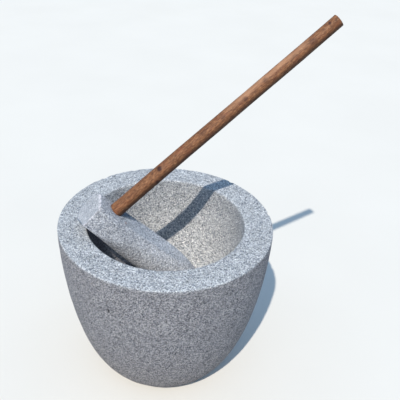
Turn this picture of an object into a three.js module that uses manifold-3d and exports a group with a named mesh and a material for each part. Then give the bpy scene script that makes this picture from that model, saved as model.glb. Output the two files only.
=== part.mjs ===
// A large carved granite mortar with its hammer pestle: a stone head on a long wooden handle.
// Millimetres, +Z up. The origin is the centre of the mortar's flat base, on the ground.
// The pestle leans in the hollow: its head lies over the rim on the -X side, nose down, and the
// handle rises towards +X.
import * as THREE from "three";
import { mergeVertices } from "three/addons/utils/BufferGeometryUtils.js";
import Module from "manifold-3d";

// ---- Mortar ----
const HEIGHT = 370;
const RIM_RADIUS = 225;
const BASE_RADIUS = 125;
const SIDE_POWER = 0.567; // how quickly the side swells out of the base
const WALL = 61; // wall thickness at the rim
const HOLLOW_DEPTH = 204;
const HOLLOW_POWER = 2.5; // 2 is an ellipse; more is a squarer hollow
const RIM_ROUND = 4; // radius worn onto both edges of the rim

// ---- Pestle head, measured along its own axis from the eye that holds the handle ----
const EYE_TO_TOP = 42.5;
const EYE_TO_NOSE = 291;
const EYE_ASIDE = 0.9; // the eye is this far off the head's middle, towards -Y
const NOSE_LENGTH = 175; // length of the rounded pounding end
const NOSE_POWER = 3.1;
const TOP_RADIUS = 44; // out to the corners of the faceted end
const BELLY_RADIUS = 44.7; // the round part
const BELLY_LENGTH = 45; // round and untapered, next to the nose
const TOP_CHAMFER = 3;
// The hand-dressed flats: heading round the axis from the handle's side in degrees, distance out
// at the top, and how fast each runs out into the round.
const FLATS = [
  [-8, 35, 0.02],
  [-84, 35, 0.11],
  [-159, 31.4, 0.066],
  [160, 35.5, 0.16],
  [101, 36.6, 0.03],
  [43, 34.6, 0.032],
];

// ---- Handle and its wedge ----
const EYE_RADIUS = 15.3;
const FIT_GAP = 0.3; // clearance round the handle in its eye, and round the wedge in its kerf
const HANDLE_END = -29; // the wedged end, just inside the far side of the eye
const TENON_REACH = 40; // the handle is straight and true up to here, just outside the stone
const HANDLE_REACH = 575; // from the eye's centre to the grip end
const HANDLE_TIP_RADIUS = 12.4;
const HANDLE_CHAMFER = 1.5;
const KERF_DEPTH = 50; // saw cut that takes the wedge
const KERF_MOUTH = 5;
const KERF_ROOT = 1.8;
const WEDGE_WIDTH = 25;
const WEDGE_TO_ROOT = 3; // space left between the wedge's tip and the kerf's root

// ---- How the pestle rests ----
const EYE_CENTRE = new THREE.Vector3(-124.2, -35.3, 388.2);
const HANDLE_HEADING = 11.1; // degrees, from +X towards +Y
const HANDLE_RISE = 41.8; // degrees above level
const HEAD_ROLL = 0.2; // degrees, about the handle
const HEAD_TILT = -2.6; // degrees by which the eye is bored off square

const ROUND_STEPS = 72; // facets round the mortar
const PESTLE_STEPS = 48; // facets round the pestle's head
const HANDLE_STEPS = 32;
const OVERCUT = 5; // how far a cutter reaches past what it cuts
const WELD_DISTANCE = 1e-3; // vertices closer than this are one

const wasm = await Module();
wasm.setup();

// A closed three.js geometry as a manifold-3d solid.
function solid(geometry) {
  const bare = geometry.clone();
  bare.deleteAttribute("normal");
  bare.deleteAttribute("uv");
  const merged = mergeVertices(bare, WELD_DISTANCE);
  return new wasm.Manifold(
    new wasm.Mesh({
      numProp: 3,
      vertProperties: merged.attributes.position.array,
      triVerts: new Uint32Array(merged.index.array),
    }),
  );
}

// A manifold-3d solid as a three.js geometry.
function geometryOf(made) {
  const mesh = made.getMesh();
  const geometry = new THREE.BufferGeometry();
  geometry.setAttribute("position", new THREE.BufferAttribute(mesh.vertProperties, 3));
  geometry.setIndex(new THREE.BufferAttribute(mesh.triVerts, 1));
  geometry.computeVertexNormals();
  return geometry;
}

// Points of a quarter-circle fillet, from one angle to another in degrees.
function arc(centreX, centreY, radius, from, to, steps = 4) {
  return Array.from({ length: steps + 1 }, (_, i) => {
    const angle = THREE.MathUtils.degToRad(from + ((to - from) * i) / steps);
    return new THREE.Vector2(
      centreX + radius * Math.cos(angle),
      centreY + radius * Math.sin(angle),
    );
  });
}

// Revolves a profile of (radius, height) points round +Z. LatheGeometry turns about Y.
function revolve(profile, steps) {
  return new THREE.LatheGeometry(profile, steps).rotateX(Math.PI / 2);
}

function sideRadius(z) {
  const swell = (1 - (1 - z / HEIGHT) ** 2) ** SIDE_POWER;
  return BASE_RADIUS + (RIM_RADIUS - BASE_RADIUS) * swell;
}

function mortarProfile() {
  const hollowRadius = RIM_RADIUS - WALL;
  const points = [new THREE.Vector2(0, 0)];
  const sideSteps = 18;
  const sideTop = HEIGHT - RIM_ROUND;
  for (let i = 0; i < sideSteps; i++) {
    const z = sideTop * (i / sideSteps) ** 1.8;
    points.push(new THREE.Vector2(sideRadius(z), z));
  }
  points.push(...arc(RIM_RADIUS - RIM_ROUND, sideTop, RIM_ROUND, 0, 90));
  points.push(...arc(hollowRadius + RIM_ROUND, sideTop, RIM_ROUND, 90, 180));
  const hollowSteps = 18;
  for (let i = 1; i < hollowSteps; i++) {
    const angle = (Math.PI / 2) * (i / hollowSteps);
    points.push(
      new THREE.Vector2(
        hollowRadius * Math.cos(angle) ** (2 / HOLLOW_POWER),
        sideTop - (HOLLOW_DEPTH - RIM_ROUND) * Math.sin(angle) ** (2 / HOLLOW_POWER),
      ),
    );
  }
  points.push(new THREE.Vector2(0, HEIGHT - HOLLOW_DEPTH));
  return points;
}

// The pestle head is a barrel with a rounded nose, dressed to flats that fade towards the nose.
// Its axis is Z and the top is up.
function headBarrel() {
  const points = [new THREE.Vector2(0, -EYE_TO_NOSE)];
  const noseSteps = 12;
  const noseStart = -EYE_TO_NOSE + NOSE_LENGTH;
  for (let i = 1; i <= noseSteps; i++) {
    const along = Math.cos((Math.PI / 2) * (i / noseSteps));
    const radius = BELLY_RADIUS * Math.sqrt(1 - along ** NOSE_POWER);
    points.push(new THREE.Vector2(radius, noseStart - NOSE_LENGTH * along));
  }
  points.push(new THREE.Vector2(BELLY_RADIUS, noseStart + BELLY_LENGTH));
  points.push(new THREE.Vector2(TOP_RADIUS, EYE_TO_TOP - TOP_CHAMFER));
  points.push(new THREE.Vector2(TOP_RADIUS - TOP_CHAMFER, EYE_TO_TOP));
  points.push(new THREE.Vector2(0, EYE_TO_TOP));
  return revolve(points, PESTLE_STEPS);
}

// A block whose inner side is one flat of the head, and which lies wholly outside it.
function stoneDressedOff(heading, distance, taper) {
  const size = 2 * (EYE_TO_TOP + EYE_TO_NOSE);
  return new THREE.BoxGeometry(size, size, size)
    .translate(size / 2, 0, 0)
    .rotateY(-Math.atan(taper))
    .translate(distance + taper * EYE_TO_TOP, 0, 0)
    .rotateZ(THREE.MathUtils.degToRad(heading));
}

function headGeometry() {
  const eye = new THREE.CylinderGeometry(EYE_RADIUS, EYE_RADIUS, 4 * TOP_RADIUS, HANDLE_STEPS);
  eye.rotateZ(Math.PI / 2).rotateY(-THREE.MathUtils.degToRad(HEAD_TILT));
  eye.translate(0, -EYE_ASIDE, 0);
  let head = solid(headBarrel()).subtract(solid(eye));
  for (const flat of FLATS) {
    head = head.subtract(solid(stoneDressedOff(...flat)));
  }
  return geometryOf(head)
    .translate(0, EYE_ASIDE, 0)
    .rotateY(THREE.MathUtils.degToRad(HEAD_TILT));
}

// Half the kerf's or the wedge's thickness at a distance x along the handle.
function kerfHalf(x) {
  const share = (x - HANDLE_END) / KERF_DEPTH;
  return (KERF_MOUTH + (KERF_ROOT - KERF_MOUTH) * share) / 2;
}

// A tapered slab across the handle, from x = from to x = to, thinner than the kerf by inset a side.
function taperedSlab(from, to, width, inset) {
  const outline = new THREE.Shape([
    new THREE.Vector2(from, -kerfHalf(from) + inset),
    new THREE.Vector2(to, -kerfHalf(to) + inset),
    new THREE.Vector2(to, kerfHalf(to) - inset),
    new THREE.Vector2(from, kerfHalf(from) - inset),
  ]);
  return new THREE.ExtrudeGeometry(outline, { depth: width, bevelEnabled: false })
    .translate(0, 0, -width / 2)
    .rotateX(Math.PI / 2);
}

function handleGeometry() {
  const tenon = EYE_RADIUS - FIT_GAP;
  const profile = [
    new THREE.Vector2(0, HANDLE_END),
    new THREE.Vector2(tenon, HANDLE_END),
    new THREE.Vector2(tenon, TENON_REACH),
    new THREE.Vector2(HANDLE_TIP_RADIUS, HANDLE_REACH - HANDLE_CHAMFER),
    new THREE.Vector2(HANDLE_TIP_RADIUS - HANDLE_CHAMFER, HANDLE_REACH),
    new THREE.Vector2(0, HANDLE_REACH),
  ];
  const stick = revolve(profile, HANDLE_STEPS).rotateY(Math.PI / 2);
  const kerf = taperedSlab(HANDLE_END - OVERCUT, HANDLE_END + KERF_DEPTH, 3 * tenon, 0);
  return geometryOf(solid(stick).subtract(solid(kerf)));
}

function wedgeGeometry() {
  const tip = HANDLE_END + KERF_DEPTH - WEDGE_TO_ROOT;
  return taperedSlab(HANDLE_END, tip, WEDGE_WIDTH, FIT_GAP);
}

const granite = new THREE.MeshStandardMaterial({ color: 0x9a9ea6, roughness: 0.9, metalness: 0 });
const headStone = new THREE.MeshStandardMaterial({ color: 0xa3a7ae, roughness: 0.88, metalness: 0 });
const handleWood = new THREE.MeshStandardMaterial({ color: 0x8f5f40, roughness: 0.65, metalness: 0 });
const wedgeWood = new THREE.MeshStandardMaterial({ color: 0xb08a5e, roughness: 0.7, metalness: 0 });

function named(name, geometry, material) {
  const mesh = new THREE.Mesh(geometry, material);
  mesh.name = name;
  return mesh;
}

const pestle = new THREE.Group();
pestle.add(named("pestle_head", headGeometry(), headStone));
pestle.add(named("pestle_handle", handleGeometry(), handleWood));
pestle.add(named("handle_wedge", wedgeGeometry(), wedgeWood));
pestle.position.copy(EYE_CENTRE);
pestle.rotation.set(
  THREE.MathUtils.degToRad(HEAD_ROLL),
  THREE.MathUtils.degToRad(-HANDLE_RISE),
  THREE.MathUtils.degToRad(HANDLE_HEADING),
  "ZYX",
);

const molcajete = new THREE.Group();
molcajete.add(named("mortar_bowl", revolve(mortarProfile(), ROUND_STEPS), granite));
molcajete.add(pestle);

export default molcajete;
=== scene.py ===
"""The looks of a big carved granite mortar and its hammer pestle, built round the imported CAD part.

Metres, +Z up, in the CAD's own frame. Each CAD node is replaced by a finer mesh of the same shape,
with the tool marks, worn edges and grain that the CAD leaves out.
"""

import math

import bpy
import numpy as np
from mathutils import Matrix, Vector, noise


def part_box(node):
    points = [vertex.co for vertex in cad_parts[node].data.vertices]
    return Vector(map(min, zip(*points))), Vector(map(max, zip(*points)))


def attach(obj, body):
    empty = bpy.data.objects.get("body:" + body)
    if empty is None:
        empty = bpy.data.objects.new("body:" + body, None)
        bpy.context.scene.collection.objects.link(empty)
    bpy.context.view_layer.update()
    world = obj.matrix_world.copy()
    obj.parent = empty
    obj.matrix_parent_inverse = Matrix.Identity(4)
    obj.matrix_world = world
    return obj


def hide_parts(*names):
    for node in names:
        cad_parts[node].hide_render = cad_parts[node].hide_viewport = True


MM = 0.001

# ---- Mortar (its radius and height are the CAD node's own) ----
BASE_RADIUS = 125 * MM
SIDE_POWER = 0.567  # how quickly the side swells out of the base
WALL = 61 * MM
HOLLOW_DEPTH = 204 * MM
HOLLOW_POWER = 2.5
OUTER_ROUND = 2.6 * MM  # worn onto the rim's outer edge
INNER_ROUND = 5 * MM
MORTAR_COLUMNS = 384
# The dark pit in the mortar's side: heading round it in degrees, height, half its width and height.
PIT_HEADING = -118.6
PIT_HEIGHT = 289 * MM
PIT_HALF_WIDTH = 3.0 * MM
PIT_HALF_HEIGHT = 6.5 * MM
PIT_DEPTH = 7 * MM
PIT_SLANT = 0.8  # how fast it falls to the right

# ---- Pestle head, from the eye's centre ----
EYE_TO_TOP = 42.5 * MM
EYE_TO_NOSE = 291 * MM
EYE_ASIDE = 0.9 * MM  # the eye is this far off the head's middle, towards -Y
NOSE_LENGTH = 175 * MM
NOSE_POWER = 3.1
TOP_RADIUS = 44 * MM
BELLY_RADIUS = 44.7 * MM
BELLY_LENGTH = 45 * MM
# The hand-dressed flats: heading round the head in degrees, distance out at the top, and how fast
# each runs out into the round.
FLATS = (
    (-8, 35 * MM, 0.02),
    (-84, 35 * MM, 0.11),
    (-159, 31.4 * MM, 0.066),
    (160, 35.5 * MM, 0.16),
    (101, 36.6 * MM, 0.03),
    (43, 34.6 * MM, 0.032),
)
EDGE_SHARPNESS = 90.0  # larger is a crisper edge between two flats
TOP_CHAMFER = 1.4 * MM
HEAD_COLUMNS = 200
EYE_RADIUS = 15.3 * MM

# ---- Handle and wedge ----
HANDLE_START = -29 * MM
HANDLE_REACH = 575 * MM
HANDLE_RADIUS = 15.0 * MM
HANDLE_TIP_RADIUS = 12.4 * MM
TENON_REACH = 40 * MM  # the handle is straight and true up to here
HANDLE_COLUMNS = 56
END_ROUND = 1.2 * MM  # worn onto both ends of the stick
KERF_DEPTH = 50 * MM
KERF_MOUTH = 5 * MM
KERF_ROOT = 1.8 * MM
WEDGE_WIDTH = 25 * MM
WEDGE_TO_ROOT = 3 * MM  # space left between the wedge's tip and the kerf's root
FIT_GAP = 0.3 * MM

# ---- How the pestle rests ----
EYE_CENTRE = Vector((-124.2, -35.3, 388.2)) * MM
HANDLE_HEADING = 11.1
HANDLE_RISE = 41.8
HEAD_ROLL = 0.2
HEAD_TILT = -2.6  # the eye is bored this far off square


def srgb(red, green, blue):
    """A colour given as 0 to 255 display values, as the linear RGBA that nodes take."""
    linear = [
        c / 255 / 12.92 if c <= 10 else ((c / 255 + 0.055) / 1.055) ** 2.4
        for c in (red, green, blue)
    ]
    return (*linear, 1.0)


def smoothstep(low, high, values):
    share = np.clip((values - low) / (high - low), 0, 1)
    return share * share * (3 - 2 * share)


def cloudy(points, size, seed, octaves=1):
    """Smooth noise, about -1 to 1, at each row of points; size is the width of its lumps."""
    shift = Vector((seed * 7.31, seed * -3.17, seed * 5.73))
    if octaves == 1:
        return np.array([noise.noise(Vector(p) / size + shift) for p in points])
    return np.array(
        [noise.fractal(Vector(p) / size + shift, 0.9, 2.0, octaves) for p in points]
    )


def pecked(points, size, seed):
    """Tool pecks: 1 in the middle of each peck, falling to 0 between them."""
    shift = Vector((seed * 2.11, seed * 4.37, seed * -1.93))
    nearest = np.array([noise.voronoi(Vector(p) / size + shift)[0][0] for p in points])
    return 1 - smoothstep(0.0, 0.62, nearest)


# ---- Mesh building ----


def grid_mesh(name, rings, caps=(True, True)):
    """A closed mesh from rings of points, rings[row][column]; each end closes on its own centre."""
    rows, columns, _ = rings.shape
    vertices = rings.reshape(-1, 3).tolist()
    faces = []
    for row in range(rows - 1):
        for column in range(columns):
            after = (column + 1) % columns
            faces.append(
                (
                    row * columns + column,
                    row * columns + after,
                    (row + 1) * columns + after,
                    (row + 1) * columns + column,
                )
            )
    for end, row in ((0, 0), (1, rows - 1)):
        if not caps[end]:
            continue
        centre = len(vertices)
        vertices.append(rings[row].mean(0).tolist())
        for column in range(columns):
            after = (column + 1) % columns
            edge = (row * columns + column, row * columns + after)
            faces.append((*(edge if end else edge[::-1]), centre))
    mesh = bpy.data.meshes.new(name)
    mesh.from_pydata(vertices, [], faces)
    unwrap_rings(mesh, rows, columns)
    mesh.shade_smooth()
    return mesh


def unwrap_rings(mesh, rows, columns):
    """Unrolls the rings: across the picture is round the piece, up the picture is along it."""
    layer = mesh.uv_layers.new(name="OFBake")
    for polygon in mesh.polygons:
        around = [
            (mesh.loops[loop].vertex_index % columns) / columns
            for loop in polygon.loop_indices
            if mesh.loops[loop].vertex_index < rows * columns
        ]
        wraps = max(around) - min(around) > 0.5
        for loop in polygon.loop_indices:
            index = mesh.loops[loop].vertex_index
            if index < rows * columns:
                across = (index % columns) / columns
                across += 1 if wraps and across < 0.5 else 0
                up = (index // columns + 1) / (rows + 1)
            else:
                across = sum(around) / len(around)
                up = 0.0 if index == rows * columns else 1.0
            layer.data[loop].uv = (across * 0.98 + 0.01, up * 0.98 + 0.01)


def resample(points, spacings):
    """Points along a polyline; spacings is (points, local spacing) at each vertex of the line."""
    steps = np.hypot(*np.diff(points, axis=0).T)
    density = steps / ((spacings[1:] + spacings[:-1]) / 2)
    along = np.concatenate(([0], np.cumsum(density)))
    wanted = np.linspace(0, along[-1], int(along[-1]) + 1)
    return np.column_stack(
        [np.interp(wanted, along, points[:, axis]) for axis in range(2)]
    )


def outward(profile):
    """The normal of each point of a (radius, height) profile that runs with the solid on its left."""
    tangent = np.gradient(profile, axis=0)
    tangent /= np.linalg.norm(tangent, axis=1)[:, None]
    return np.column_stack((tangent[:, 1], -tangent[:, 0]))


def point_attribute(mesh, name, values):
    attribute = mesh.attributes.new(name, "FLOAT", "POINT")
    padded = np.zeros(len(mesh.vertices), np.float32)
    padded[: len(values)] = values
    padded[len(values) :] = values[-1]
    attribute.data.foreach_set("value", padded)


def add_piece(mesh, body, node, material, matrix=None):
    piece = bpy.data.objects.new(node + "_look", mesh)
    bpy.context.scene.collection.objects.link(piece)
    if matrix is not None:
        piece.matrix_world = matrix
    piece.data.materials.append(material)
    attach(piece, body)
    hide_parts(node)
    return piece


def cut(mesh, cutter):
    """The mesh with the cutter's volume taken away."""
    scene = bpy.context.scene
    target = bpy.data.objects.new("cut_target", mesh)
    tool = bpy.data.objects.new("cut_tool", cutter)
    for item in (target, tool):
        scene.collection.objects.link(item)
    modifier = target.modifiers.new("cut", "BOOLEAN")
    modifier.operation = "DIFFERENCE"
    modifier.solver = "EXACT"
    modifier.object = tool
    bpy.context.view_layer.update()
    evaluated = target.evaluated_get(bpy.context.evaluated_depsgraph_get())
    result = bpy.data.meshes.new_from_object(evaluated)
    for item in (target, tool):
        bpy.data.objects.remove(item)
    return result


# ---- The mortar ----


def side_radius(z):
    """The mortar's outer radius at each height."""
    _low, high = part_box("mortar_bowl")
    swell = (1 - (1 - z / high.z) ** 2) ** SIDE_POWER
    return BASE_RADIUS + (high.x - BASE_RADIUS) * swell


def mortar_profile(rim_radius, height):
    """(radius, height) from the base's centre, up the side, over the rim, to the hollow's bottom."""
    hollow_radius = rim_radius - WALL
    side_top = height - OUTER_ROUND
    inner_top = height - INNER_ROUND
    base = [(r, 0.0) for r in np.linspace(4 * MM, BASE_RADIUS, 12)[:-1]]
    side = []
    for share in np.linspace(0, 1, 400)[:-1]:
        z = side_top * share**2.2
        side.append((side_radius(z), z))
    quarter = np.linspace(0, math.pi / 2, 12)
    outer = [
        (rim_radius - OUTER_ROUND * (1 - math.cos(a)), side_top + OUTER_ROUND * math.sin(a))
        for a in quarter
    ]
    inner = [
        (hollow_radius + INNER_ROUND * (1 - math.sin(a)), inner_top + INNER_ROUND * math.cos(a))
        for a in quarter
    ]
    hollow = []
    for a in np.linspace(0, math.pi / 2, 400)[1:-1]:
        radius = hollow_radius * math.cos(a) ** (2 / HOLLOW_POWER)
        drop = (HOLLOW_DEPTH - INNER_ROUND) * math.sin(a) ** (2 / HOLLOW_POWER)
        if radius > 4 * MM:
            hollow.append((radius, inner_top - drop))
    coarse, body, fine = 12 * MM, 3.5 * MM, 1.3 * MM
    spacing = (
        [coarse] * len(base)
        + [body] * len(side)
        + [fine] * (len(outer) + len(inner))
        + [body] * len(hollow)
    )
    profile = resample(np.array(base + side + outer + inner + hollow), np.array(spacing))
    return profile


def mortar_areas(points, normals, rim_radius, height):
    """How far each point is on the rim's top, inside, outside, and at one of the rim's edges."""
    hollow_radius = rim_radius - WALL
    radius = np.hypot(points[:, 0], points[:, 1])
    z = points[:, 2]
    on_rim = smoothstep(height - 5 * MM, height - 1 * MM, z)
    faces_axis = (normals[:, :2] * points[:, :2]).sum(1) < 0
    in_hollow = (radius < hollow_radius) & (z > 0.1 * height)
    inside = np.where(faces_axis | in_hollow, 1 - on_rim, 0.0)
    outside = np.clip(1 - on_rim - inside, 0, 1)
    to_edge = np.minimum(
        np.hypot(radius - rim_radius, z - height), np.hypot(radius - hollow_radius, z - height)
    )
    edge = 1 - smoothstep(2 * MM, 9 * MM, to_edge)
    return on_rim, inside, outside, edge


def pit_depth(points, outside):
    """Depth of the pit in the mortar's side at each point."""
    turn = math.radians(PIT_HEADING)
    sideways = (-points[:, 0] * math.sin(turn) + points[:, 1] * math.cos(turn)) / PIT_HALF_WIDTH
    slant = PIT_SLANT * PIT_HALF_WIDTH * sideways
    upright = (points[:, 2] - PIT_HEIGHT + slant) / PIT_HALF_HEIGHT
    facing = points[:, 0] * math.cos(turn) + points[:, 1] * math.sin(turn) > 0
    return PIT_DEPTH * np.where(facing & (outside > 0), np.exp(-(sideways**2) - upright**2), 0.0)


def seen_from_head(points):
    """The points in the resting head's own frame, and how far each is from the head's surface."""
    local = (points - np.array(EYE_CENTRE)) @ np.array(resting_turn().to_3x3() @ head_tilt())
    local[:, 1] -= EYE_ASIDE
    turn = np.arctan2(local[:, 1], local[:, 0])
    beside = np.clip(local[:, 2], 2 * MM - EYE_TO_NOSE, EYE_TO_TOP)
    return local, np.hypot(local[:, 0], local[:, 1]) - head_radius(turn, beside)


def painted_shade_below_head(local, apart, walls):
    """Painted shade on the hollow's wall under the resting head: how dark it is made at each point."""
    towards_front = smoothstep(20 * MM, 50 * MM, -local[:, 1])
    beneath = smoothstep(0, 30 * MM, 45 * MM * towards_front - local[:, 0])
    return (1 - smoothstep(75 * MM, 110 * MM, apart)) * beneath * walls


def build_mortar():
    _low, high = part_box("mortar_bowl")
    rim_radius, height = high.x, high.z
    profile = mortar_profile(rim_radius, height)
    turns = np.linspace(0, 2 * math.pi, MORTAR_COLUMNS, endpoint=False)
    around = np.column_stack((np.cos(turns), np.sin(turns)))

    def rings(flat):
        across = flat[:, None, 0, None] * around[None]
        up = np.broadcast_to(flat[:, None, 1, None], across.shape[:2] + (1,))
        return np.concatenate((across, up), axis=2)

    smooth = rings(profile)
    normals = rings(outward(profile))
    points = smooth.reshape(-1, 3)
    areas = mortar_areas(points, normals.reshape(-1, 3), rim_radius, height)
    on_rim, inside, outside, edge = areas
    local, apart = seen_from_head(points)

    waves = cloudy(points, 150 * MM, 1) * 0.9 * MM * (1 - 0.5 * on_rim)
    dents = cloudy(points, 34 * MM, 2, 2) * 0.42 * MM * (0.35 + 0.65 * outside)
    pecks = pecked(points, 6.5 * MM, 3) * MM * (0.42 * outside + 0.1 * on_rim + 0.14 * inside)
    grit = cloudy(points, 3.6 * MM, 4) * MM * (0.15 * outside + 0.04 * on_rim + 0.08 * inside)
    chips = smoothstep(0.2, 0.62, cloudy(points, 15 * MM, 5, 2)) * edge * 1.8 * MM
    chips = chips * smoothstep(85 * MM, 115 * MM, apart)  # none behind the head
    calm = np.where(points[:, 2] < 2 * MM, 0.3, 1.0)  # the base stays flat
    depth = (waves + dents - 0.7 * MM) * calm - pecks + grit - chips - pit_depth(points, outside)
    depth = np.minimum(depth, 0.15 * MM)
    mesh = grid_mesh(
        "mortar_bowl_look", smooth + normals * depth.reshape(smooth.shape[:2])[..., None]
    )

    inner_edge = np.hypot(points[:, 0], points[:, 1]) < rim_radius - WALL + 1.5 * MM
    # painted shade on the wall under the resting head
    shade_under_head = painted_shade_below_head(local, apart, inside + on_rim * inner_edge)
    point_attribute(mesh, "shade_under_head", shade_under_head)
    point_attribute(mesh, "inside", inside)
    point_attribute(mesh, "outside", outside)
    point_attribute(mesh, "edge", edge)
    point_attribute(mesh, "hollow", np.clip(pecks / (0.5 * MM), 0, 1))
    return mesh


# ---- The pestle ----


def resting_turn():
    return (
        Matrix.Rotation(math.radians(HANDLE_HEADING), 4, "Z")
        @ Matrix.Rotation(math.radians(-HANDLE_RISE), 4, "Y")
        @ Matrix.Rotation(math.radians(HEAD_ROLL), 4, "X")
    )


def head_tilt():
    return Matrix.Rotation(math.radians(HEAD_TILT), 3, "Y")


def barrel_radius(z):
    """Radius of the round stone at each height on the head's axis."""
    nose_start = NOSE_LENGTH - EYE_TO_NOSE
    belly_end = nose_start + BELLY_LENGTH
    along = np.clip((nose_start - z) / NOSE_LENGTH, 0, 1)
    share = np.clip((z - belly_end) / (EYE_TO_TOP - belly_end), 0, 1)
    rounded = BELLY_RADIUS * np.sqrt(1 - along**NOSE_POWER)
    return rounded + (TOP_RADIUS - BELLY_RADIUS) * share


def flat_reaches(turn, z):
    """How far out each flat lies, at each heading and height; a metre where it faces away."""
    reaches = []
    for heading, distance, taper in FLATS:
        lean = np.cos(turn - math.radians(heading))
        flat = (distance + taper * (EYE_TO_TOP - z)) / np.maximum(lean, 0.2)
        reaches.append(np.where(lean > 0.2, flat, 1.0))
    return reaches


def head_radius(turn, z):
    """Distance out to the head's surface: the round stone or a flat, whichever is nearer."""
    reaches = np.stack([barrel_radius(z) + 0 * turn, *flat_reaches(turn, z)])
    nearest = reaches.min(0)
    crowd = ((nearest / reaches) ** EDGE_SHARPNESS).sum(0)
    return nearest * crowd ** (-1 / EDGE_SHARPNESS)


def bruised_edges_and_highlight(points):
    """1 along the head's bruised edges and the painted highlight on the end face's front edge, falling
    to 0 a few millimetres away.
    """
    radius = np.hypot(points[:, 0], points[:, 1])
    turn = np.arctan2(points[:, 1], points[:, 0])
    z = points[:, 2]
    outline = head_radius(turn, np.full(len(turn), EYE_TO_TOP))
    rim = np.hypot(np.minimum(radius - outline, 0), z - EYE_TO_TOP)
    wear_and_highlight = 0.55 * (1 - smoothstep(1 * MM, 4 * MM, rim))
    # painted highlight: a wide pale band on the end face along its long front edge, where a lit bevel
    # would be
    front_heading, front_distance, _taper = FLATS[0]
    to_front = front_distance - radius * np.cos(turn - math.radians(front_heading))
    on_face = z > EYE_TO_TOP - 1.5 * MM
    wear_and_highlight = np.maximum(wear_and_highlight, np.where(on_face, 1 - smoothstep(4 * MM, 10 * MM, to_front), 0))
    # each long edge between two flats, where the two lie about as far out
    reaches = np.stack(flat_reaches(turn, z))
    nearest, second = np.sort(reaches, axis=0)[:2]
    stands_out = nearest < barrel_radius(z)
    edge = (1 - smoothstep(0.01, 0.06, second / nearest - 1)) * stands_out
    return np.maximum(wear_and_highlight, 0.6 * edge * smoothstep(-60 * MM, 20 * MM, z))


def painted_shade_and_line(points):
    """How dark the head is painted: shade below, a dark line round the end face's far side, and the
    handle's shadow beside it.
    """
    x, y, z = points.T
    turn = np.arctan2(y, x)
    heading = np.degrees(turn) % 360
    on_face = z > EYE_TO_TOP - 0.4 * MM
    # painted shade on the side that rests on the mortar, from a crisp line near the top to a soft one
    # lower down
    low = smoothstep(0, 20 * MM, EYE_TO_TOP - 20 * MM - z)
    below = smoothstep(110, 150, heading) * ~on_face
    below = below * (1 - smoothstep(239 - 19 * low, 243 - 5 * low, heading))
    # a thin line round the end face
    to_outline = head_radius(turn, np.full(len(turn), EYE_TO_TOP)) - np.hypot(x, y)
    far_side = smoothstep(55, 75, heading) * (1 - smoothstep(225, 240, heading))
    ring = 0.9 * (1 - smoothstep(1.8 * MM, 3.4 * MM, to_outline)) * far_side * on_face
    # the handle's painted shadow on the front flat, between the handle and the flat's upper edge
    past_line = y + 11.4 * MM + 0.45 * (z + 18 * MM)
    handle_shadow = smoothstep(0, 2 * MM, past_line) * (x > 0) * smoothstep(-66 * MM, -54 * MM, z)
    handle_shadow = handle_shadow * (1 - smoothstep(-12 * MM, -6 * MM, z)) * (1 - smoothstep(14 * MM, 20 * MM, y))
    return np.maximum(np.maximum(below, ring), 0.85 * handle_shadow)


def head_surface():
    """The dressed head before any tool mark: rings of points from the nose to the end face."""
    turns = np.linspace(0, 2 * math.pi, HEAD_COLUMNS, endpoint=False)
    nose = [
        -EYE_TO_NOSE + NOSE_LENGTH * (1 - math.cos(a))
        for a in np.linspace(0.055, math.pi / 2, 84)
    ]
    body = np.linspace(NOSE_LENGTH - EYE_TO_NOSE, EYE_TO_TOP - TOP_CHAMFER, 108)[1:]
    rows = [(head_radius(turns, z), z) for z in [*nose, *body]]
    outline = head_radius(turns, EYE_TO_TOP)
    for a in np.linspace(0, math.pi / 2, 6)[1:]:
        z = EYE_TO_TOP - TOP_CHAMFER * (1 - math.sin(a))
        rows.append((outline - TOP_CHAMFER * (1 - math.cos(a)), z))
    inner = rows[-1][0]
    rows += [(inner * share, EYE_TO_TOP) for share in np.linspace(1, 0.05, 22)[1:]]
    radius = np.array([row[0] for row in rows])
    height = np.array([row[1] for row in rows])[:, None] + 0 * turns
    return np.stack((radius * np.cos(turns), radius * np.sin(turns), height), axis=2)


def ring_normals(rings):
    """The outward normal at each point of rings."""
    across = np.gradient(rings, axis=0)
    along = (np.roll(rings, -1, axis=1) - np.roll(rings, 1, axis=1)) / 2
    normals = np.cross(along, across)
    return normals / (np.linalg.norm(normals, axis=2)[..., None] + 1e-12)


def build_head():
    smooth = head_surface()
    points = smooth.reshape(-1, 3)
    tilt = np.array(head_tilt())
    z = points[:, 2]
    dressed = smoothstep(-150 * MM, -20 * MM, z)
    eye_distance = np.hypot(points[:, 1] + EYE_ASIDE, (points @ tilt.T)[:, 2])
    eye = 1 - smoothstep(EYE_RADIUS, EYE_RADIUS + 5 * MM, eye_distance)
    on_top = smoothstep(EYE_TO_TOP - 1 * MM, EYE_TO_TOP - 0.4 * MM, z)

    waves = cloudy(points, 60 * MM, 11) * 0.55 * MM
    dents = cloudy(points, 17 * MM, 12, 2) * 0.45 * MM * (0.3 + 0.7 * dressed)
    pecks = pecked(points, 5.5 * MM, 13) * 0.3 * MM * (0.45 + 0.55 * dressed)
    grit = cloudy(points, 3.2 * MM, 14) * 0.13 * MM
    worn_eye = eye * (1 - on_top) * 0.8 * MM
    depth = waves + dents - 0.55 * MM - pecks + grit - worn_eye
    depth = np.minimum(depth, 0.1 * MM)
    moved = smooth + ring_normals(smooth) * depth.reshape(smooth.shape[:2])[..., None]
    mesh = grid_mesh("pestle_head_look", moved @ tilt.T + np.array((0, EYE_ASIDE, 0)))

    point_attribute(mesh, "dressed", dressed)
    point_attribute(mesh, "wear_and_highlight", bruised_edges_and_highlight(points))
    point_attribute(mesh, "end_face", on_top)
    point_attribute(mesh, "painted_shade_and_line", painted_shade_and_line(points))
    point_attribute(mesh, "hollow", np.clip(pecks / (0.4 * MM), 0, 1))
    return cut(mesh, eye_cutter())


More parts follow.
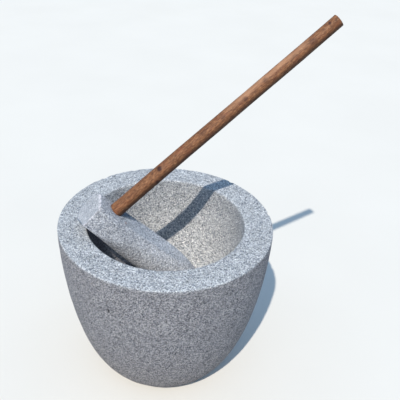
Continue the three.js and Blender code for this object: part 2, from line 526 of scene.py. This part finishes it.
def ring_stack(name, radii_and_x, columns):
    """A solid of revolution about X from (radius, x) pairs."""
    turns = np.linspace(0, 2 * math.pi, columns, endpoint=False)
    rings = np.array(
        [[(x, r * math.cos(t), r * math.sin(t)) for t in turns] for r, x in radii_and_x]
    )
    return grid_mesh(name, rings)


def eye_cutter():
    reach = 2 * TOP_RADIUS
    return ring_stack("eye_cutter", [(EYE_RADIUS, -reach), (EYE_RADIUS, reach)], 64)


# Where branches left the stick, and bruises: distance along it, heading round it in degrees,
# width, height and how dark.
KNOTS = (
    (159 * MM, 117, 8 * MM, 0.9 * MM, 1.0),
    (142 * MM, 115, 4.5 * MM, 0.3 * MM, 0.6),
    (139 * MM, -160, 7 * MM, 0.9 * MM, 0.9),
    (268 * MM, 129, 8 * MM, 0.2 * MM, 0.3),
    (313 * MM, 130, 9 * MM, 0.2 * MM, 0.35),
    (366 * MM, 147, 8 * MM, 0.4 * MM, 0.5),
    (414 * MM, 138, 8 * MM, 0.4 * MM, 0.5),
    (518 * MM, 146, 11 * MM, 0.4 * MM, 0.5),
    (558 * MM, 117, 5 * MM, 0.5 * MM, 0.95),
    (569 * MM, 135, 4 * MM, 0.3 * MM, 0.95),
)


# Painted shade along two sides of the stick, darkest along its underside: heading round it,
# half-width, strength.
SHADED_SIDES = ((-118, 80, 0.82), (50, 30, 0.3))


def shaded_sides(heading):
    """How dark the painted shade is at each heading round the stick."""
    dark = np.zeros(len(heading))
    for middle, half_width, strength in SHADED_SIDES:
        apart = np.abs((heading - middle + 180) % 360 - 180)
        dark = np.maximum(dark, strength * (1 - smoothstep(0.5 * half_width, half_width, apart)))
    return dark


def paler_upper_side(x, heading):
    """How much paler the upper side of the stick is made, along its far half."""
    along = smoothstep(290 * MM, 370 * MM, x) * (1 - smoothstep(490 * MM, 530 * MM, x))
    apart = np.abs((heading - 98 + 180) % 360 - 180)
    return along * (1 - smoothstep(20, 48, apart))


def stick_radius(x):
    """The stick's radius at each place along it."""
    taper = np.clip((x - TENON_REACH) / (HANDLE_REACH - TENON_REACH), 0, 1)
    return HANDLE_RADIUS + (HANDLE_TIP_RADIUS - HANDLE_RADIUS) * taper


def stick_stations():
    """(share of the full radius, place along the stick) at each ring, both ends rounded."""
    ends = (0.08, 0.3, 0.55, 0.8)
    quarter = np.linspace(0, math.pi / 2, 5)
    edge = END_ROUND / HANDLE_RADIUS
    stations = [(share, HANDLE_START) for share in ends]
    stations += [
        (1 - edge * (1 - math.sin(a)), HANDLE_START + END_ROUND * (1 - math.cos(a)))
        for a in quarter
    ]
    first, last = HANDLE_START + END_ROUND, HANDLE_REACH - END_ROUND
    stations += [(1.0, x) for x in np.linspace(first, last, 250)[1:-1]]
    stations += [
        (1 - edge * (1 - math.cos(a)), HANDLE_REACH - END_ROUND * (1 - math.sin(a)))
        for a in quarter
    ]
    return stations + [(share, HANDLE_REACH) for share in ends[::-1]]


def build_handle():
    turns = np.linspace(0, 2 * math.pi, HANDLE_COLUMNS, endpoint=False)
    stations = np.array(stick_stations())
    share = stations[:, 0, None] + 0 * turns
    x = stations[:, 1, None] + 0 * turns
    radius = stick_radius(x) - 0.12 * MM
    free = smoothstep(TENON_REACH, TENON_REACH + 25 * MM, x)
    squeezed = np.stack((x / 7, radius * np.cos(turns), radius * np.sin(turns)), axis=2)
    points = squeezed.reshape(-1, 3)
    lumps = cloudy(points, 17 * MM, 21).reshape(x.shape) * 0.45 * MM
    fibres = cloudy(points, 3.2 * MM, 22).reshape(x.shape) * 0.16 * MM
    radius = radius + free * (lumps + fibres - 0.4 * MM)
    for where, heading, width, height, _dark in KNOTS:
        apart = (turns - math.radians(heading) + math.pi) % (2 * math.pi) - math.pi
        bump = np.exp(-(((x - where) / width) ** 2) - (apart * HANDLE_RADIUS / width) ** 2)
        radius = radius + bump * height
    along = np.clip((x - TENON_REACH) / (HANDLE_REACH - TENON_REACH), 0, 1)
    bow = free * 0.35 * MM * np.sin(along * math.pi * 1.6)
    sway = free * 0.35 * MM * np.sin(along * math.pi * 2.3)
    rings = np.stack(
        (x, share * radius * np.cos(turns) + sway, share * radius * np.sin(turns) + bow), axis=2
    )
    mesh = grid_mesh("pestle_handle_look", rings)
    around = np.broadcast_to(np.degrees(turns), x.shape).ravel()
    point_attribute(mesh, "side_shade", shaded_sides(around))
    point_attribute(mesh, "paler_top", paler_upper_side(x.ravel(), around))
    return cut(mesh, slab("kerf_cutter", -5 * MM, KERF_DEPTH, 40 * MM))


def kerf_half(x):
    share = (x - HANDLE_START) / KERF_DEPTH
    return (KERF_MOUTH + (KERF_ROOT - KERF_MOUTH) * share) / 2


def slab(name, start, end, width):
    """A slab across the handle with the kerf's taper, from start to end past the handle's start."""
    rings = []
    for x in (HANDLE_START + start, HANDLE_START + end):
        z = kerf_half(x)
        y = width / 2
        rings.append([(x, y, -z), (x, -y, -z), (x, -y, z), (x, y, z)])
    return grid_mesh(name, np.array(rings))


def build_wedge():
    """The wedge, with its corners rounded."""
    rings = []
    columns = 40
    for x in np.linspace(HANDLE_START, HANDLE_START + KERF_DEPTH - WEDGE_TO_ROOT, 24):
        half, wide = kerf_half(x) - FIT_GAP, WEDGE_WIDTH / 2
        ring = []
        for column in range(columns):
            t = 2 * math.pi * column / columns
            c, s = math.cos(t), math.sin(t)
            y = wide * math.copysign(abs(c) ** 0.25, c)
            z = half * math.copysign(abs(s) ** 0.25, s)
            ring.append((x, y, z))
        rings.append(ring)
    return grid_mesh("handle_wedge_look", np.array(rings))


# ---- Materials ----


class Nodes:
    """Builds a material's nodes, one a call. An input is given as a value or another node's output."""

    def __init__(self, name):
        self.material = bpy.data.materials.new(name)
        self.material.use_nodes = True
        self.tree = self.material.node_tree
        self.tree.nodes.clear()

    def add(self, kind, inputs=None, **settings):
        made = self.tree.nodes.new("ShaderNode" + kind)
        for key, value in settings.items():
            setattr(made, key, value)
        for key, value in (inputs or {}).items():
            socket = made.inputs[key]
            if isinstance(value, bpy.types.NodeSocket):
                self.tree.links.new(value, socket)
            else:
                socket.default_value = value
        return made

    def math(self, operation, a, b=0.5, clamp=False):
        made = self.add("Math", {0: a, 1: b}, operation=operation, use_clamp=clamp)
        return made.outputs[0]

    def mix(self, share, a, b, blend="MIX"):
        made = self.add("Mix", {0: share, 6: a, 7: b}, data_type="RGBA", blend_type=blend)
        return made.outputs[2]

    def ramp(self, value, stops, steps="LINEAR"):
        made = self.add("ValToRGB", {"Fac": value})
        made.color_ramp.interpolation = steps
        elements = made.color_ramp.elements
        while len(elements) < len(stops):
            elements.new(1.0)
        for element, (place, colour) in zip(elements, stops):
            element.position = place
            element.color = colour if isinstance(colour, tuple) else (colour,) * 3 + (1.0,)
        return made.outputs["Color"]

    def spread(self, value, low, high, to_low=0.0, to_high=1.0):
        made = self.add(
            "MapRange",
            {"Value": value, "From Min": low, "From Max": high, "To Min": to_low, "To Max": to_high},
        )
        return made.outputs[0]

    def noise(self, where, size, detail=2.0, output="Fac"):
        made = self.add("TexNoise", {"Vector": where, "Scale": 1 / size, "Detail": detail})
        return made.outputs[output]

    def cells(self, where, size, output="Color", feature="F1"):
        made = self.add("TexVoronoi", {"Vector": where, "Scale": 1 / size}, feature=feature)
        return made.outputs[output]

    def attribute(self, name):
        return self.add("Attribute", attribute_name=name).outputs["Fac"]

    def finish(self, colour, roughness, height, depth, specular=0.35):
        bump = self.add("Bump", {"Height": height, "Distance": depth, "Strength": 1.0})
        shader = self.add(
            "BsdfPrincipled",
            {
                "Base Color": colour,
                "Roughness": roughness,
                "Normal": bump.outputs[0],
                "Specular IOR Level": specular,
            },
        )
        output = self.add("OutputMaterial", {"Surface": shader.outputs[0]})
        output.target = "ALL"
        return self.material


def granite(name, tint, contrast, zones):
    """Grey granite: a mosaic of white, grey and blue-grey grains with black mica.

    tint multiplies the whole stone. zones is a function that takes the nodes and the stone's
    colour and returns the colour with that piece's own staining and wear.
    """
    n = Nodes(name)
    place = n.add("TexCoord").outputs["Object"]
    wander = n.noise(place, 3.0 * MM, 2.0, "Color")
    offset = n.add("VectorMath", {0: wander, 1: (-0.5, -0.5, -0.5)}, operation="ADD")
    offset = n.add("VectorMath", {0: offset.outputs[0], "Scale": 1.4 * MM}, operation="SCALE")
    bent = n.add("VectorMath", {0: place, 1: offset.outputs[0]}, operation="ADD").outputs[0]

    coarse = n.add("SeparateColor", {"Color": n.cells(bent, 1.6 * MM)}).outputs[0]
    fine = n.add("SeparateColor", {"Color": n.cells(bent, 1.1 * MM)}).outputs[1]
    mosaic = n.ramp(
        coarse,
        [
            (0.00, srgb(20, 22, 28)),
            (0.17, srgb(84, 90, 104)),
            (0.34, srgb(150, 156, 168)),
            (0.55, srgb(206, 209, 213)),
            (0.76, srgb(252, 252, 252)),
        ],
        "CONSTANT",
    )
    speck = n.ramp(
        fine,
        [
            (0.00, srgb(16, 18, 24)),
            (0.19, srgb(108, 115, 130)),
            (0.45, srgb(184, 188, 194)),
            (0.70, srgb(250, 250, 250)),
        ],
        "CONSTANT",
    )
    grains = n.mix(0.45, mosaic, speck)
    even = n.mix(contrast, srgb(172, 176, 182), grains)
    mottle = n.noise(place, 26 * MM, 3.0)
    shade = n.spread(mottle, 0.3, 0.7, 0.93, 1.06)
    shade = n.add("CombineColor", {0: shade, 1: shade, 2: shade}).outputs[0]
    colour = n.mix(1.0, even, shade, "MULTIPLY")
    colour = n.mix(1.0, colour, tint, "MULTIPLY")
    colour = zones(n, place, colour)

    pits = n.noise(place, 1.6 * MM, 3.0)
    height = n.math("ADD", n.math("MULTIPLY", coarse, 0.5), n.math("MULTIPLY", pits, 0.9))
    roughness = n.spread(fine, 0.0, 1.0, 0.95, 0.72)
    return n.finish(colour, roughness, height, 0.7 * MM)


def mortar_zones(n, place, colour):
    inside, outside = n.attribute("inside"), n.attribute("outside")
    pecks, edge = n.attribute("hollow"), n.attribute("edge")
    warm = n.mix(1.0, colour, (1.05, 1.02, 0.985, 1.0), "MULTIPLY")
    colour = n.mix(inside, colour, warm)
    # the outside is made darker than the rim and the hollow
    darker_outside = n.mix(1.0, colour, (0.67, 0.64, 0.645, 1.0), "MULTIPLY")
    colour = n.mix(outside, colour, darker_outside)
    height = n.add("SeparateXYZ", {0: place}).outputs[2]
    # warmer towards the bottom
    warmer_low = n.mix(1.0, colour, (1.03, 0.99, 0.95, 1.0), "MULTIPLY")
    colour = n.mix(n.spread(height, 200 * MM, 40 * MM), colour, warmer_low)
    # darker in the peck hollows
    darker_in_pecks = n.math("MULTIPLY", pecks, 0.45)
    colour = n.mix(darker_in_pecks, colour, n.mix(1.0, colour, (0.5, 0.5, 0.54, 1.0), "MULTIPLY"))
    # painted highlight: the rim's edges are made slightly paler
    colour = n.mix(n.math("MULTIPLY", edge, 0.08), colour, srgb(214, 217, 222))
    # painted shade: the wall under the resting head is darkened
    shade_paint = n.mix(1.0, colour, (0.2, 0.19, 0.22, 1.0), "MULTIPLY")
    colour = n.mix(n.attribute("shade_under_head"), colour, shade_paint)
    rust = n.cells(place, 34 * MM, "Distance")
    rust = n.spread(rust, 0.045, 0.012)
    colour = n.mix(n.math("MULTIPLY", rust, 0.5), colour, srgb(128, 92, 66))
    return n.mix(dark_pit(n, place), colour, srgb(30, 32, 40))


def dark_pit(n, place):
    """1 inside the pit in the mortar's side, with a ragged edge."""
    turn = math.radians(PIT_HEADING)
    radius = side_radius(PIT_HEIGHT)
    centre = (radius * math.cos(turn), radius * math.sin(turn), PIT_HEIGHT)
    away = n.add("VectorMath", {0: place, 1: centre}, operation="SUBTRACT").outputs[0]

    def along(direction, length):
        part = n.add("VectorMath", {0: away, 1: direction}, operation="DOT_PRODUCT")
        return n.math("DIVIDE", part.outputs["Value"], length)

    right = (-math.sin(turn), math.cos(turn), 0)
    sideways = along(right, PIT_HALF_WIDTH)
    upright = along((PIT_SLANT * right[0], PIT_SLANT * right[1], 1), PIT_HALF_HEIGHT)
    inward = along((math.cos(turn), math.sin(turn), 0), 10 * MM)
    square = n.math("ADD", n.math("POWER", sideways, 2.0), n.math("POWER", upright, 2.0))
    square = n.math("ADD", square, n.math("POWER", inward, 2.0))
    ragged = n.math("ADD", square, n.noise(place, 2 * MM))
    return n.spread(ragged, 1.8, 1.0)


# A rust spot on the head, below the handle.
RUST_PLACE = (33.5 * MM, -21.5 * MM, -24.5 * MM)


def head_zones(n, place, colour):
    pecks, dressed = n.attribute("hollow"), n.attribute("dressed")
    # the head is made paler below its dressed part
    paler_below_dressed = n.mix(1.0, colour, (1.3, 1.3, 1.3, 1.0), "MULTIPLY")
    colour = n.mix(dressed, paler_below_dressed, colour)
    # darker in the peck hollows
    darker_in_pecks = n.math("MULTIPLY", pecks, 0.35)
    colour = n.mix(darker_in_pecks, colour, n.mix(1.0, colour, (0.6, 0.6, 0.63, 1.0), "MULTIPLY"))
    fresh = n.mix(0.3, colour, srgb(176, 182, 190))
    colour = n.mix(n.attribute("end_face"), colour, fresh)
    patchy = n.spread(n.noise(place, 6 * MM, 2.0), 0.3, 0.6)
    # bruised edges made pale, and the painted highlight along the end face's front edge
    bruise_and_highlight = n.math("MULTIPLY", n.math("MULTIPLY", n.attribute("wear_and_highlight"), patchy), 0.75)
    colour = n.mix(bruise_and_highlight, colour, srgb(236, 232, 238))
    # painted shade under the head and the handle's painted shadow beside it, with a dark line round
    # the end face
    shade_paint = n.mix(1.0, colour, (0.26, 0.34, 0.42, 1.0), "MULTIPLY")
    colour = n.mix(n.attribute("painted_shade_and_line"), colour, shade_paint)
    rust = n.add("VectorMath", {0: place, 1: RUST_PLACE}, operation="DISTANCE").outputs["Value"]
    rust = n.math("ADD", rust, n.math("MULTIPLY", n.noise(place, 3 * MM), 4 * MM))
    rust = n.math("MULTIPLY", n.spread(rust, 6 * MM, 3 * MM), 0.6)
    return n.mix(rust, colour, srgb(176, 128, 100))


def bare_wood(name, light, dark, patch, fibre_size):
    """Stripped wood: long fibres along X, short dark flecks, knots, and painted shade along two sides.
    """
    n = Nodes(name)
    place = n.add("TexCoord").outputs["Object"]

    def drawn_out(share):
        return n.add("Mapping", {"Vector": place, "Scale": (share, 1.0, 1.0)}).outputs[0]

    fibres = n.noise(drawn_out(0.12), fibre_size, 4.0)
    streaks = n.noise(drawn_out(0.15), 4 * fibre_size, 3.0)
    blotches = n.noise(drawn_out(0.5), 13 * MM, 3.0)
    colour = n.mix(n.spread(fibres, 0.32, 0.66), dark, light)
    colour = n.mix(n.spread(streaks, 0.45, 0.7, 0.0, 0.5), colour, dark)
    colour = n.mix(n.spread(blotches, 0.52, 0.74, 0.0, 0.5), colour, patch)
    flecks = n.cells(drawn_out(0.45), 3.4 * MM, "Distance")
    flecks = n.spread(flecks, 0.2, 0.07)
    colour = n.mix(n.math("MULTIPLY", flecks, 0.65), colour, srgb(58, 32, 22))
    glints = n.spread(n.noise(drawn_out(0.4), 2.2 * MM, 2.0), 0.56, 0.68)
    colour = n.mix(n.math("MULTIPLY", glints, 0.3), colour, srgb(206, 158, 114))
    # the upper side of the stick's far half is made paler
    paler_top = n.math("MULTIPLY", n.attribute("paler_top"), n.spread(blotches, 0.3, 0.7, 0.75, 0.25))
    colour = n.mix(paler_top, colour, srgb(196, 148, 114))
    for where, heading, width, _height, dark_share in KNOTS:
        turn = math.radians(heading)
        radius = stick_radius(where)
        centre = (where, radius * math.cos(turn), radius * math.sin(turn))
        apart = n.add("VectorMath", {0: place, 1: centre}, operation="DISTANCE").outputs["Value"]
        ragged = n.math("ADD", apart, n.math("MULTIPLY", n.math("SUBTRACT", streaks, 0.5), 7 * MM))
        ring = n.spread(ragged, width * 0.9, width * 0.35)
        colour = n.mix(n.math("MULTIPLY", ring, dark_share), colour, srgb(58, 24, 16))
    # painted shade along two sides of the stick, darkest along its underside
    side_shade = n.mix(1.0, colour, (0.26, 0.26, 0.28, 1.0), "MULTIPLY")
    colour = n.mix(n.attribute("side_shade"), colour, side_shade)
    height = n.math("SUBTRACT", fibres, n.math("MULTIPLY", flecks, 0.5))
    roughness = n.spread(streaks, 0.3, 0.7, 0.52, 0.7)
    return n.finish(colour, roughness, height, 0.5 * MM, 0.4)


# ---- Floor, light and camera ----


def build_stage():
    bpy.ops.mesh.primitive_plane_add(size=40, location=(0, 0, -0.5 * MM))
    floor = bpy.context.object
    floor.name = "floor"
    n = Nodes("floor_paper")
    place = n.add("TexCoord").outputs["Object"]
    tone = n.spread(n.noise(place, 0.4, 2.0), 0.3, 0.7, 0.0, 1.0)
    colour = n.mix(tone, (0.80, 0.77, 0.72, 1.0), (0.82, 0.79, 0.74, 1.0))
    # Paler to the camera than to the light that bounces off it, so it doesn't glare from below.
    seen = n.add("LightPath").outputs["Is Camera Ray"]
    colour = n.mix(seen, (0.50, 0.48, 0.45, 1.0), colour)
    floor.data.materials.append(n.finish(colour, 0.9, n.noise(place, 3 * MM), 0.05 * MM, 0.1))


def build_light():
    world = bpy.data.worlds.new("studio")
    world.use_nodes = True
    background = world.node_tree.nodes["Background"]
    background.inputs["Color"].default_value = SKY_COLOUR
    background.inputs["Strength"].default_value = SKY_STRENGTH
    bpy.context.scene.world = world
    lamp = bpy.data.lights.new("key", "SUN")
    lamp.energy = KEY_STRENGTH
    lamp.color = KEY_COLOUR
    lamp.angle = math.radians(KEY_SOFTNESS)
    key = bpy.data.objects.new("key", lamp)
    key.rotation_euler = Vector(KEY_FROM).to_track_quat("Z", "Y").to_euler()
    bpy.context.scene.collection.objects.link(key)


SKY_COLOUR = (0.46, 0.69, 1.0, 1.0)
SKY_STRENGTH = 0.62
KEY_FROM = (-0.207, -0.580, 0.788)
KEY_STRENGTH = 3.3
KEY_COLOUR = (1.0, 0.94, 0.84)
KEY_SOFTNESS = 0.9  # degrees

CAMERA_PLACE = Vector((0.0, -938.3, 1013.3)) * MM
CAMERA_AIM = Vector((0.0, 0.0, 370.0)) * MM
CAMERA_ROLL = 1.37  # degrees
CAMERA_LENS = 48.69
CAMERA_SHIFT = (0.0862, 0.0489)


def build_camera():
    data = bpy.data.cameras.new("camera")
    data.lens = CAMERA_LENS
    data.sensor_width = 36
    data.shift_x, data.shift_y = CAMERA_SHIFT
    camera = bpy.data.objects.new("camera", data)
    aim = (CAMERA_AIM - CAMERA_PLACE).to_track_quat("-Z", "Y").to_matrix().to_4x4()
    roll = Matrix.Rotation(math.radians(CAMERA_ROLL), 4, "Z")
    camera.matrix_world = Matrix.Translation(CAMERA_PLACE) @ aim @ roll
    bpy.context.scene.collection.objects.link(camera)
    bpy.context.scene.camera = camera


# ---- Build it all ----

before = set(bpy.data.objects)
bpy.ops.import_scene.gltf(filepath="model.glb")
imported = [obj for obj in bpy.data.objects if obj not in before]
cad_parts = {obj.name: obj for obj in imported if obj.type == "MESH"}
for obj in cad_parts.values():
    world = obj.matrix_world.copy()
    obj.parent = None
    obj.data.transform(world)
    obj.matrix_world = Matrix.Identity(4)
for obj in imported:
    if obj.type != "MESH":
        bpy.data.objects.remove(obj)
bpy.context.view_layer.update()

stone = granite("granite", (0.97, 0.98, 0.985, 1.0), 1.0, mortar_zones)
head_stone = granite("head_granite", (1.01, 1.0, 1.01, 1.0), 0.85, head_zones)
stick = bare_wood(
    "handle_wood", srgb(160, 108, 70), srgb(82, 48, 30), srgb(116, 56, 36), fibre_size=1.1 * MM
)
split = bare_wood(
    "wedge_wood", srgb(205, 172, 128), srgb(160, 124, 84), srgb(150, 110, 76), fibre_size=0.8 * MM
)

resting = Matrix.Translation(EYE_CENTRE) @ resting_turn()
add_piece(build_mortar(), "mortar", "mortar_bowl", stone)
add_piece(build_head(), "pestle", "pestle_head", head_stone, resting)
add_piece(build_handle(), "pestle", "pestle_handle", stick, resting)
add_piece(build_wedge(), "pestle", "handle_wedge", split, resting)

build_stage()
build_light()
build_camera()
bpy.context.scene.view_settings.view_transform = "Standard"
